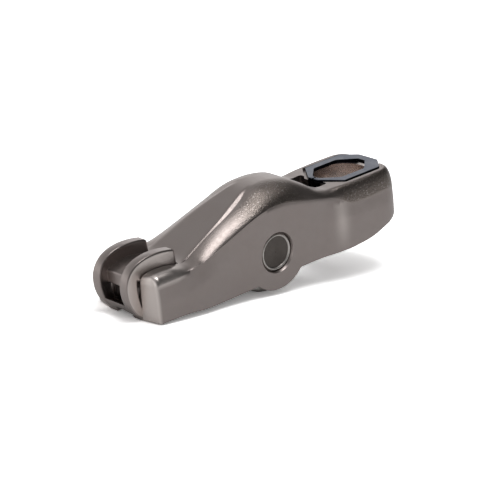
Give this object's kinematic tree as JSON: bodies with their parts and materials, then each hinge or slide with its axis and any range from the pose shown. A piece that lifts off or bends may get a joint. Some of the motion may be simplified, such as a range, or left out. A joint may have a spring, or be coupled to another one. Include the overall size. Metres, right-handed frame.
{
  "type": "rocker arm",
  "caption": "Formed sheet-steel roller rocker arm with a needle-bearing cam roller, a ball socket under a spring clip, and a crowned pallet between guide ears.",
  "frame": {"origin": "centre of the pivot ball in the socket", "axes": "+X from the valve end to the pivot end along the lever, +Z out of the socket's mouth to the side that meets valve and pivot, Y along the roller axle"},
  "size_m": [0.0671, 0.0182, 0.0213],
  "materials": {
    "lever_steel": "nitrided satin sheet steel, brownish grey",
    "axle_steel": "hardened pin, dark satin face with bright staked rim",
    "bearing_steel": "ground bright bearing steel",
    "clip_steel": "blued spring sheet, satin"
  },
  "bodies": {
    "lever": {"lever_body": "lever_steel", "roller_axle": "axle_steel", "retaining_clip": "clip_steel"},
    "roller": {"roller": "bearing_steel"},
    "needle_set": {"needle_01": "bearing_steel", "needle_02": "bearing_steel", "needle_03": "bearing_steel", "needle_04": "bearing_steel", "needle_05": "bearing_steel", "needle_06": "bearing_steel", "needle_07": "bearing_steel", "needle_08": "bearing_steel", "needle_09": "bearing_steel", "needle_10": "bearing_steel", "needle_11": "bearing_steel", "needle_12": "bearing_steel", "needle_13": "bearing_steel", "needle_14": "bearing_steel", "needle_15": "bearing_steel", "needle_16": "bearing_steel", "needle_17": "bearing_steel"}
  },
  "joints": [
    {"name": "roller_spin", "type": "hinge", "parent": "lever", "child": "roller", "pos_m": [-0.0238, 0, -0.0036], "axis": [0, 1, 0], "continuous": true},
    {"name": "needle_orbit", "type": "hinge", "parent": "lever", "child": "needle_set", "pos_m": [-0.0238, 0, -0.0036], "axis": [0, 1, 0], "continuous": true}
  ],
  "couplings": [
    {"joint": "needle_orbit", "follows": "roller_spin", "ratio": 0.59016}
  ]
}
